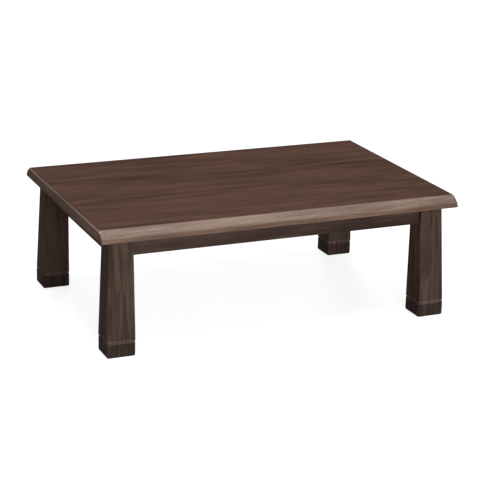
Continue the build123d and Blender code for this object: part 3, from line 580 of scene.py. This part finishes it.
# Heat-proof black enamel: satin, with the orange peel of spraying, 1.5 mm across.
plain_surface("Heat-proof enamel, black, satin", ["heater_guard"],
              ("#161617", "#1f1f20"), (25, 1.5, 0.05), 0.42)
# Dark grey motor paint, sprayed thick, with small dimples.
plain_surface("Motor shell, dark grey paint", ["fan_motor"],
              ("#3f4447", "#4b5053"), (8, 0.9, 0.04), 0.40)
print("metals dressed")

# %% Galvanised sheet
SPANGLE_SIZE = 9 * MM
RAGGED = 4 * MM  # how far a crystal's edge wanders
SPANGLE_SHINY, SPANGLE_DULL = 0.32, 0.50  # roughness of the crystals

galvanised, tree, surface = new_material(
    "Galvanised sheet, small spangle", ["heater_case", "heater_divider", "fan_impeller"])
place = add(tree, "TexCoord").outputs["Object"]
warp = add(tree, "TexNoise", {"Vector": place, "Scale": 1 / SPANGLE_SIZE, "Detail": 2.0})
ragged = add(tree, "VectorMath", {
    0: warp.outputs["Color"], 1: (RAGGED, RAGGED, RAGGED), 2: place}, operation="MULTIPLY_ADD")
spangle = add(tree, "TexVoronoi", {"Vector": ragged, "Scale": 1 / SPANGLE_SIZE})
crystal = add(tree, "SeparateColor", {0: spangle.outputs["Color"]})
tone = add(tree, "ValToRGB", {"Fac": crystal}, stops=[(0.0, "#9a9ea0"), (1.0, "#bfc3c4")])
gloss = add(tree, "MapRange", {
    "Value": crystal.outputs[1], "To Min": SPANGLE_SHINY, "To Max": SPANGLE_DULL})
fill(tree, surface, {"Base Color": tone, "Metallic": 1.0, "Roughness": gloss})
print(galvanised.name, "of", SPANGLE_SIZE / MM, "mm")

# %% [markdown]
# ## Ceramic, plastic, sleeve and quartz
#
# The lamp's ends sit in steatite, a fired soapstone that is cream, dry and faintly speckled. The
# thermostat and terminal block are moulded in brown bakelite, which polishes where the mould was
# polished. The inlet is a glass-filled black plastic with a spark-eroded texture. The leads wear
# a braided glass-fibre sleeve: two sets of threads that cross, drawn as two slanted waves. The
# lamp's tube is clear quartz glass; a faint ripple from drawing keeps it from looking like air.

# %% Ceramic and plastics
plain_surface("Steatite, fired, unglazed", ["lamp_holders", "thermal_fuse"],
              ("#cfc6b2", "#ded7c6"), (7, 0.5, 0.05), 0.68, **{"Specular IOR Level": 0.3})
plain_surface("Bakelite, moulded, brown black", ["thermostat", "terminal_block"],
              ("#1f1612", "#33241c"), (6, 0.8, 0.02), 0.34)
plain_surface("Glass-filled plastic, black, spark-eroded", ["power_inlet"],
              ("#1b1b1c", "#252526"), (12, 0.35, 0.05), 0.52)
print("ceramic and plastics dressed")

# %% Braided sleeve and quartz
THREAD_SPACING = 0.8 * MM

sleeve, tree, surface = new_material("Glass-fibre sleeve, braided, cream", ["lead_wires"])
place = add(tree, "TexCoord").outputs["Object"]
threads = []
for slant in ((1.0, 1.0, 0.6), (1.0, -1.0, -0.6)):
    turned = add(tree, "VectorMath", {0: place, 1: slant}, operation="DOT_PRODUCT")
    phase = add(tree, "Math", {0: turned, 1: 2 * math.pi / THREAD_SPACING}, operation="MULTIPLY")
    threads.append(add(tree, "Math", {0: phase}, operation="SINE"))
braid = add(tree, "Math", {0: threads[0], 1: threads[1]}, operation="MULTIPLY")
tone = add(tree, "ValToRGB", {"Fac": braid}, stops=[(0.0, "#9c9480"), (0.6, "#d6cfbd")])
bump = add(tree, "Bump", {"Height": braid, "Strength": 0.4, "Distance": 0.15 * MM})
fill(tree, surface, {
    "Base Color": tone, "Roughness": 0.8, "Normal": bump, "Specular IOR Level": 0.2})

RIPPLE_WIDTH = 1.5 * MM
RIPPLE_LENGTH = 60 * MM

quartz, tree, surface = new_material("Quartz glass, drawn tube", ["quartz_tube"])
place = add(tree, "TexCoord").outputs["Object"]
drawn = add(tree, "Mapping", {
    "Vector": place, "Scale": step_size("Y", RIPPLE_WIDTH, RIPPLE_LENGTH)})
ripple = add(tree, "TexNoise", {"Vector": drawn, "Scale": 1.0, "Detail": 2.0})
haze = add(tree, "MapRange", {
    "Value": ripple, "From Min": 0.4, "From Max": 0.8, "To Min": 0.02, "To Max": 0.12})
bump = add(tree, "Bump", {"Height": ripple, "Strength": 0.2, "Distance": 0.05 * MM})
fill(tree, surface, {
    "Base Color": linear("#f4f3ee"), "Roughness": haze, "Normal": bump,
    "Transmission Weight": 1.0, "IOR": 1.458})
print(sleeve.name, "and", quartz.name)

# %% [markdown]
# ## Where the fasteners are
#
# The CAD model holds every screw, nut and bolt in its real place, but as a plain turned solid. Its
# loose triangles are merged in a copy, which falls apart into one island for each solid. The
# spread of an island's points then gives its axis: the longest direction of a screw, and the
# shortest of a washer. Nothing is typed in, so the detailed pieces always sit where the CAD says.

# %% Solids, axes and places
def solids(name):
    """The points of each separate solid of a CAD piece, from a merged copy of its mesh."""
    merged = bmesh.new()
    merged.from_mesh(nodes[name].data)
    bmesh.ops.remove_doubles(merged, verts=merged.verts, dist=0.001 * MM)
    found, seen = [], set()
    for start in merged.verts:
        if start in seen:
            continue
        seen.add(start)
        island, waiting = [], [start]
        while waiting:
            here = waiting.pop()
            island.append(here.co[:])
            for edge in here.link_edges:
                beyond = edge.other_vert(here)
                if beyond not in seen:
                    seen.add(beyond)
                    waiting.append(beyond)
        found.append(np.array(island))
    merged.free()
    return found


def turned_solids(name, flat=False):
    """Each solid's centre and axis, and its points from the centre, along the axis and off it."""
    for points in solids(name):
        centre = (points.min(axis=0) + points.max(axis=0)) / 2
        points = points - centre
        axis = np.linalg.eigh(points.T @ points)[1][:, 0 if flat else 2]
        along = points @ axis
        yield centre, axis, points, along, np.linalg.norm(points - np.outer(along, axis), axis=1)


def square_to(axis):
    """A direction at right angles to an axis."""
    level = np.cross(axis, (0.0, 0.0, 1.0))
    if np.linalg.norm(level) < 0.1:  # the axis is upright
        level = np.array((1.0, 0.0, 0.0))
    return level / np.linalg.norm(level)


def places_mesh(name, rows):
    """Loose points, each with the two directions that turn the copy set there."""
    mesh = bpy.data.meshes.new(name)
    mesh.from_pydata([tuple(row[0]) for row in rows], [], [])
    for column, key in ((1, "outward"), (2, "sideways")):
        attribute = mesh.attributes.new(key, "FLOAT_VECTOR", "POINT")
        attribute.data.foreach_set("vector", np.array([row[column] for row in rows]).ravel())
    return mesh


print("solids in the bracket screws:", len(solids("bracket_screws")))

# %% [markdown]
# ## Geometry trees with named sizes
#
# A fastener is modelled once in a geometry node tree and set at every place, so a size is changed
# in one input and all copies follow. The trees share a start, which lists the inputs by name, and
# an end, which sets the copies, makes them real mesh and gives them their material. The result is
# kept as one plain mesh that rides on a body and stands for the CAD piece.

# %% Start and end of a tree
def size_tree(name, sizes, counts=()):
    """A geometry tree with named inputs, and the sockets that hand them out."""
    tree = bpy.data.node_groups.new(name, "GeometryNodeTree")
    kinds = {"Places": "NodeSocketGeometry"}
    kinds.update({size: "NodeSocketFloat" for size in sizes})
    kinds.update({count: "NodeSocketInt" for count in counts})
    kinds["Material"] = "NodeSocketMaterial"
    for socket, kind in kinds.items():
        tree.interface.new_socket(socket, in_out="INPUT", socket_type=kind)
    tree.interface.new_socket("Pieces", in_out="OUTPUT", socket_type="NodeSocketGeometry")
    return tree, add(tree, "GroupInput").outputs


def end_tree(tree, given, shape):
    """Ends a tree: makes the shape real mesh, gives it its material and hands it out."""
    real = add(tree, "RealizeInstances", {"Geometry": shape})
    dressed = add(tree, "SetMaterial", {"Geometry": real, "Material": given["Material"]})
    add(tree, "GroupOutput", {0: dressed})


def set_copies(tree, given, shape):
    """Ends a tree with a copy of the shape at each place, turned by its two directions."""
    outward, sideways = [
        add(tree, "InputNamedAttribute", {"Name": key}, data_type="FLOAT_VECTOR")
        for key in ("outward", "sideways")]
    turn = add(tree, "AxesToRotation", {0: outward, 1: sideways},
               primary_axis="Z", secondary_axis="X")
    copies = add(tree, "InstanceOnPoints", {
        "Points": given["Places"], "Instance": shape, "Rotation": turn})
    end_tree(tree, given, copies)


SHARP_ANGLE = math.radians(32)


def grow(name, tree, places, material, body, replaced, sizes):
    """Runs a tree on its places and keeps the result as one plain mesh in a CAD piece's stead."""
    carrier = bpy.data.objects.new(name + "_places", places)
    bpy.context.scene.collection.objects.link(carrier)
    modifier = carrier.modifiers.new("grow", "NODES")
    modifier.node_group = tree
    values = {**sizes, "Material": material}
    for socket in tree.interface.items_tree:
        if socket.in_out == "INPUT" and socket.name in values:
            modifier[socket.identifier] = values[socket.name]
    bpy.context.view_layer.update()
    evaluated = carrier.evaluated_get(bpy.context.evaluated_depsgraph_get())
    mesh = bpy.data.meshes.new_from_object(evaluated)
    bpy.data.objects.remove(carrier)
    mesh.shade_smooth()
    mesh.set_sharp_from_angle(angle=SHARP_ANGLE)
    piece = bpy.data.objects.new(name, mesh)
    bpy.context.scene.collection.objects.link(piece)
    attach(piece, body)
    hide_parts(replaced)
    print(name, len(mesh.polygons), "faces, replaces", replaced)


print("tree helpers ready")

# %% [markdown]
# ## Pan-head screws
#
# The frame is held by pan-head wood screws and the heater's sheet parts by small ones of the same
# shape. The head is a short cylinder whose top bends down towards its rim, which takes one line of
# arithmetic on the height of each point. Two crossed blades are cut out of it for the driver, and
# the shank is joined to it. The shanks sit in timber or sheet, so they stay plain. Every screw
# stops at its own angle when it is tight, so each cross is turned by a seeded random angle.

# %% Screw tree
HEAD_SIDES = 24
HEAD_RINGS = 4
SHANK_SIDES = 12
CROWN = 0.45  # share of the head's height that the rim lies below the middle
CROWN_POWER = 4.0  # a higher one keeps the middle flatter
SUNK_SHARE = 0.3  # of the head's height that the shank reaches up into it
BLADE_LENGTH = 1.15  # of the head's radius
BLADE_WIDTH = 0.24
BLADE_DEPTH = 0.62  # of the head's height

tree, given = size_tree(
    "pan_head_screws", ("Head Radius", "Head Height", "Shank Radius", "Shank Length"))
blank = add(tree, "MeshCylinder", {
    "Vertices": HEAD_SIDES, "Fill Segments": HEAD_RINGS,
    "Radius": given["Head Radius"], "Depth": given["Head Height"]}, fill_type="TRIANGLE_FAN")
spot = add(tree, "InputPosition")
parts = add(tree, "SeparateXYZ", {0: spot})
flat_spot = add(tree, "CombineXYZ", {0: parts.outputs[0], 1: parts.outputs[1]})
aside = add(tree, "VectorMath", {0: flat_spot}, operation="LENGTH")
share = add(tree, "Math", {0: aside, 1: given["Head Radius"]}, operation="DIVIDE")
bend = add(tree, "Math", {0: share, 1: CROWN_POWER}, operation="POWER")
keep = add(tree, "Math", {0: bend, 1: -CROWN, 2: 1.0}, operation="MULTIPLY_ADD")
lifted = add(tree, "Math", {
    0: given["Head Height"], 1: 0.5, 2: parts.outputs[2]}, operation="MULTIPLY_ADD")
crowned = add(tree, "Math", {0: lifted, 1: keep}, operation="MULTIPLY")
domed_spot = add(tree, "CombineXYZ", {0: parts.outputs[0], 1: parts.outputs[1], 2: crowned})
head = add(tree, "SetPosition", {"Geometry": blank, "Position": domed_spot})

# A blade is as tall as the head, and its foot lies a blade's depth under the head's top.
blades = []
for shares in ((BLADE_LENGTH, BLADE_WIDTH), (BLADE_WIDTH, BLADE_LENGTH)):
    length, width = [
        add(tree, "Math", {0: given["Head Radius"], 1: share}, operation="MULTIPLY")
        for share in shares]
    size = add(tree, "CombineXYZ", {0: length, 1: width, 2: given["Head Height"]})
    lift = add(tree, "Math", {0: given["Head Height"], 1: 1.5 - BLADE_DEPTH}, operation="MULTIPLY")
    middle = add(tree, "CombineXYZ", {2: lift})
    box = add(tree, "MeshCube", {"Size": size})
    blades.append(add(tree, "Transform", {"Geometry": box, "Translation": middle}))
cut = add(tree, "MeshBoolean", {
    "Mesh 1": head, "Mesh 2": blades}, operation="DIFFERENCE", solver="EXACT")

inside = add(tree, "Math", {0: given["Head Height"], 1: SUNK_SHARE}, operation="MULTIPLY")
shank_length = add(tree, "Math", {0: given["Shank Length"], 1: inside})
shank_half = add(tree, "Math", {0: shank_length, 1: 0.5}, operation="MULTIPLY")
shank_middle = add(tree, "Math", {0: inside, 1: shank_half}, operation="SUBTRACT")
shank_place = add(tree, "CombineXYZ", {2: shank_middle})
shank_blank = add(tree, "MeshCylinder", {
    "Vertices": SHANK_SIDES, "Radius": given["Shank Radius"], "Depth": shank_length})
shank = add(tree, "Transform", {"Geometry": shank_blank, "Translation": shank_place})
whole = add(tree, "MeshBoolean", {"Mesh 2": [cut, shank]}, operation="UNION", solver="EXACT")
set_copies(tree, given, whole)
screw_tree = tree
print("screw tree has", len(tree.nodes), "nodes")

# %% Set the screws
SEED = 7
RIM_SHARE = 0.95  # points this near the widest belong to the head's rim
TIP_LENGTH = 0.1 * MM

tight = np.random.default_rng(SEED)
for name in ("bracket_screws", "heater_screws", "guard_screws"):
    rows = []
    for centre, axis, _, along, off in turned_solids(name):
        rim = off > RIM_SHARE * off.max()
        if along[rim].mean() < 0:
            axis, along = -axis, -along
        seat = centre + axis * along[rim].min()
        level = square_to(axis)
        angle = tight.uniform(0, math.pi / 2)
        turned = math.cos(angle) * level + math.sin(angle) * np.cross(axis, level)
        rows.append((seat, axis, turned))
        tip = along < along.min() + TIP_LENGTH
        sizes = {
            "Head Radius": float(off.max()),
            "Head Height": float(along.max() - along[rim].min()),
            "Shank Radius": float(off[tip].max()),
            "Shank Length": float(along[rim].min() - along.min()),
        }
    grow("crossed_" + name, screw_tree, places_mesh(name, rows), zinc, "frame", name, sizes)
    print("   sizes in mm:", {key: round(value / MM, 2) for key, value in sizes.items()})

# %% [markdown]
# ## Nuts and washers
#
# A hexagon nut is turned before it is threaded, and the turning cuts its corners off at 30 degrees
# at both ends. That is a prism met by two wide cones. A washer is the same thing with many sides,
# where the cones only break its edge, so one tree with an input for the number of sides makes
# both. A bore goes through each.

# %% Nut and washer tree
CHAMFER_SLOPE = math.sqrt(3)  # a cone at 30 degrees widens this much for each step down
CONE_SIDES = 48
BORE_SIDES = 32

tree, given = size_tree(
    "nuts_and_washers", ("Corner Radius", "End Radius", "Thickness", "Bore Radius"), ("Sides",))
prism = add(tree, "MeshCylinder", {
    "Vertices": given["Sides"], "Radius": given["Corner Radius"], "Depth": given["Thickness"]})
widest = add(tree, "Math", {
    0: given["Thickness"], 1: CHAMFER_SLOPE, 2: given["End Radius"]}, operation="MULTIPLY_ADD")
half = add(tree, "Math", {0: given["Thickness"], 1: 0.5}, operation="MULTIPLY")
down = add(tree, "Math", {0: half, 1: -1.0}, operation="MULTIPLY")
low = add(tree, "CombineXYZ", {2: down})
chamfered = [prism]
for top, bottom in ((given["End Radius"], widest), (widest, given["End Radius"])):
    cone = add(tree, "MeshCone", {
        "Vertices": CONE_SIDES, "Depth": given["Thickness"],
        "Radius Top": top, "Radius Bottom": bottom})
    chamfered.append(add(tree, "Transform", {"Geometry": cone, "Translation": low}))
blunt = add(tree, "MeshBoolean", {"Mesh 2": chamfered}, operation="INTERSECT", solver="EXACT")
long_bore = add(tree, "Math", {0: given["Thickness"], 1: 2.0}, operation="MULTIPLY")
bore = add(tree, "MeshCylinder", {
    "Vertices": BORE_SIDES, "Radius": given["Bore Radius"], "Depth": long_bore})
bored = add(tree, "MeshBoolean", {
    "Mesh 1": blunt, "Mesh 2": bore}, operation="DIFFERENCE", solver="EXACT")
set_copies(tree, given, bored)
ring_tree = tree
print("nut and washer tree has", len(tree.nodes), "nodes")

# %% Set the nuts and washers
NUT = ("bolt_nuts", 6, 0.95)  # piece, sides, share of the flats' radius left at the ends
WASHER = ("bolt_washers", 40, 0.96)

for name, sides, end_share in (NUT, WASHER):
    rows = []
    for centre, axis, points, along, off in turned_solids(name, flat=True):
        corner = points[off.argmax()]
        corner = corner - axis * (corner @ axis)
        rows.append((centre, axis, corner / np.linalg.norm(corner)))
    flat_radius = off.max() * math.cos(math.pi / sides)
    sizes = {
        "Sides": sides,
        "Corner Radius": float(off.max()),
        "End Radius": float(flat_radius * end_share),
        "Thickness": float(along.max() - along.min()),
        "Bore Radius": float(off.min()),
    }
    grow("chamfered_" + name, ring_tree, places_mesh(name, rows), zinc, "frame", name, sizes)

# %% [markdown]
# ## Threads and flutes
#
# A hanger bolt has a machine thread on the end that takes the nut, and a fluted dowel has shallow
# grooves that let the glue and the air out. Both are a round bar whose radius changes from point
# to point, so one tree makes them: a cylinder with enough points, moved in or out. A thread is a
# triangle wave that climbs by one pitch in a turn, a flute a wave round the bar. M8 has a pitch of
# 1.25 mm and a thread 0.6 mm deep. The bolt's other end is buried in the leg and stays plain.

# %% Threaded and fluted bar tree
tree, given = size_tree("threads_and_flutes", (
    "Radius", "Length", "Thread Pitch", "Thread Depth", "Threaded Length",
    "Flute Depth", "End Chamfer"), ("Flutes", "Sides", "Rings"))
bar = add(tree, "MeshCylinder", {
    "Vertices": given["Sides"], "Side Segments": given["Rings"],
    "Radius": given["Radius"], "Depth": given["Length"]})
spot = add(tree, "InputPosition")
parts = add(tree, "SeparateXYZ", {0: spot})
turn = add(tree, "Math", {0: parts.outputs[1], 1: parts.outputs[0]}, operation="ARCTAN2")
climb = add(tree, "Math", {0: parts.outputs[2], 1: given["Thread Pitch"]}, operation="DIVIDE")
screwed = add(tree, "Math", {0: turn, 1: -1 / (2 * math.pi), 2: climb}, operation="MULTIPLY_ADD")
ridge = add(tree, "Math", {0: screwed, 1: 0.5}, operation="PINGPONG")
half = add(tree, "Math", {0: given["Length"], 1: 0.5}, operation="MULTIPLY")
thread_end = add(tree, "Math", {0: half, 1: given["Threaded Length"]}, operation="SUBTRACT")
run_out = add(tree, "Math", {0: thread_end, 1: given["Thread Pitch"]}, operation="SUBTRACT")
# The ridge rises to a half, so twice of it is the full depth.
threaded = add(tree, "MapRange", {
    "Value": parts.outputs[2], "From Min": run_out, "From Max": thread_end, "To Max": 2.0})
thread = add(tree, "Math", {0: ridge, 1: threaded}, operation="MULTIPLY")
thread_cut = add(tree, "Math", {0: thread, 1: given["Thread Depth"]}, operation="MULTIPLY")
flute_turn = add(tree, "Math", {0: turn, 1: given["Flutes"]}, operation="MULTIPLY")
wave = add(tree, "Math", {0: flute_turn}, operation="COSINE")
wave_up = add(tree, "Math", {0: wave, 1: 0.5, 2: 0.5}, operation="MULTIPLY_ADD")
flute_cut = add(tree, "Math", {0: wave_up, 1: given["Flute Depth"]}, operation="MULTIPLY")
height = add(tree, "Math", {0: parts.outputs[2]}, operation="ABSOLUTE")
to_end = add(tree, "Math", {0: half, 1: height}, operation="SUBTRACT")
short = add(tree, "Math", {0: given["End Chamfer"], 1: to_end}, operation="SUBTRACT")
end_cut = add(tree, "Math", {0: short, 1: 0.0}, operation="MAXIMUM")
surface_cut = add(tree, "Math", {0: thread_cut, 1: flute_cut})
deepest = add(tree, "Math", {0: surface_cut, 1: end_cut}, operation="MAXIMUM")
left = add(tree, "Math", {0: given["Radius"], 1: deepest}, operation="SUBTRACT")
shrink = add(tree, "Math", {0: left, 1: given["Radius"]}, operation="DIVIDE")
factors = add(tree, "CombineXYZ", {0: shrink, 1: shrink, 2: 1.0})
moved = add(tree, "VectorMath", {0: spot, 1: factors}, operation="MULTIPLY")
turned = add(tree, "SetPosition", {"Geometry": bar, "Position": moved})
set_copies(tree, given, turned)
bar_tree = tree
print("bar tree has", len(tree.nodes), "nodes")

# %% Set the hanger bolts
THREAD = {"Thread Pitch": 1.25 * MM, "Thread Depth": 0.6 * MM,
          "Threaded Length": 26 * MM, "End Chamfer": 0.8 * MM}
RINGS_PER_PITCH = 6
BOLT_SIDES = 20

rows = []
for centre, axis, _, along, off in turned_solids("hanger_bolts"):
    if (centre + axis)[:2] @ centre[:2] > centre[:2] @ centre[:2]:
        axis = -axis
    rows.append((centre, axis, square_to(axis)))
bolt_length = float(along.max() - along.min())
sizes = {"Radius": float(off.max()), "Length": bolt_length, **THREAD, "Sides": BOLT_SIDES,
         "Rings": round(bolt_length / THREAD["Thread Pitch"] * RINGS_PER_PITCH)}
grow("threaded_hanger_bolts", bar_tree, places_mesh("hanger_bolts", rows), zinc, "frame",
     "hanger_bolts", sizes)

# %% Set the fluted dowels
# The pitch divides, so it has a value here too, but with no threaded length it cuts nothing.
FLUTES = {"Flutes": 16, "Flute Depth": 0.35 * MM, "End Chamfer": 1.0 * MM,
          "Thread Pitch": 1 * MM, "Sides": 64, "Rings": 40}

for corner in CORNERS:
    name = "extension_dowels_" + corner
    rows = []
    for centre, _, _, along, off in turned_solids(name):
        rows.append((centre, (0.0, 0.0, 1.0), (1.0, 0.0, 0.0)))
    sizes = {"Radius": float(off.max()), "Length": float(along.max() - along.min()), **FLUTES}
    grow("fluted_dowels_" + corner, bar_tree, places_mesh(name, rows), beech,
         "extension_" + corner, name, sizes)

# %% [markdown]
# ## The glowing coil
#
# The lamp's heater is a thin wire wound into a long spring, which runs through the bent quartz
# tube. The spring is a helix round the tube's centre line: each point of that line is moved
# sideways by the helix's radius, at an angle that grows with the distance along the line. The
# line's own tangent and normal say which way is sideways. The real turns are about a millimetre
# apart; they are drawn 2.6 mm apart, because closer ones would only show as a grey tube.

# %% Coil tree
COIL_SIZES = {"Coil Radius": 4.0 * MM, "Wire Radius": 0.4 * MM, "Turn Spacing": 2.6 * MM}
POINTS_PER_TURN = 10
WIRE_SIDES = 5

tree, given = size_tree("wound_wire", tuple(COIL_SIZES))
line = add(tree, "MeshToCurve", {"Mesh": given["Places"]})
step = add(tree, "Math", {0: given["Turn Spacing"], 1: 1 / POINTS_PER_TURN}, operation="MULTIPLY")
smooth_line = add(tree, "SetCurveNormal", {"Curve": line}, mode="Z_UP")
even_line = add(tree, "ResampleCurve", {"Curve": smooth_line, "Length": step}, mode="LENGTH")
run = add(tree, "SplineParameter")
turns = add(tree, "Math", {0: run.outputs["Length"], 1: given["Turn Spacing"]}, operation="DIVIDE")
angle = add(tree, "Math", {0: turns, 1: 2 * math.pi}, operation="MULTIPLY")
tangent = add(tree, "InputTangent")
normal = add(tree, "InputNormal")
other = add(tree, "VectorMath", {0: tangent, 1: normal}, operation="CROSS_PRODUCT")
reach = []
for operation, direction in (("COSINE", normal), ("SINE", other)):
    wave = add(tree, "Math", {0: angle}, operation=operation)
    length = add(tree, "Math", {0: wave, 1: given["Coil Radius"]}, operation="MULTIPLY")
    reach.append(add(tree, "VectorMath", {0: direction, "Scale": length}, operation="SCALE"))
around = add(tree, "VectorMath", {0: reach[0], 1: reach[1]})
wound = add(tree, "SetPosition", {"Geometry": even_line, "Offset": around})
section = add(tree, "CurvePrimitiveCircle", {
    "Resolution": WIRE_SIDES, "Radius": given["Wire Radius"]})
wire = add(tree, "CurveToMesh", {"Curve": wound, "Profile Curve": section, "Fill Caps": True})
end_tree(tree, given, wire)
coil_tree = tree
print("coil tree has", len(tree.nodes), "nodes")

# %% Wind the coil through the tube
BEND_STEPS = 24

low, high = (np.array(corner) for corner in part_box("heating_coil"))
solid_radius = (high[2] - low[2]) / 2
level = (high[2] + low[2]) / 2
left_run, right_run = low[0] + solid_radius, high[0] - solid_radius
bend_radius = (right_run - left_run) / 2
bend_middle = ((left_run + right_run) / 2, high[1] - solid_radius - bend_radius)
swings = [math.pi * (1 - i / BEND_STEPS) for i in range(BEND_STEPS + 1)]
bend = [(bend_middle[0] + bend_radius * math.cos(swing),
         bend_middle[1] + bend_radius * math.sin(swing), level) for swing in swings]
path = [(left_run, low[1], level), *bend, (right_run, low[1], level)]
route = bpy.data.meshes.new("coil_line")
route.from_pydata(path, [(i, i + 1) for i in range(len(path) - 1)], [])
grow("wound_heating_coil", coil_tree, route, hot_wire, "frame", "heating_coil", COIL_SIZES)
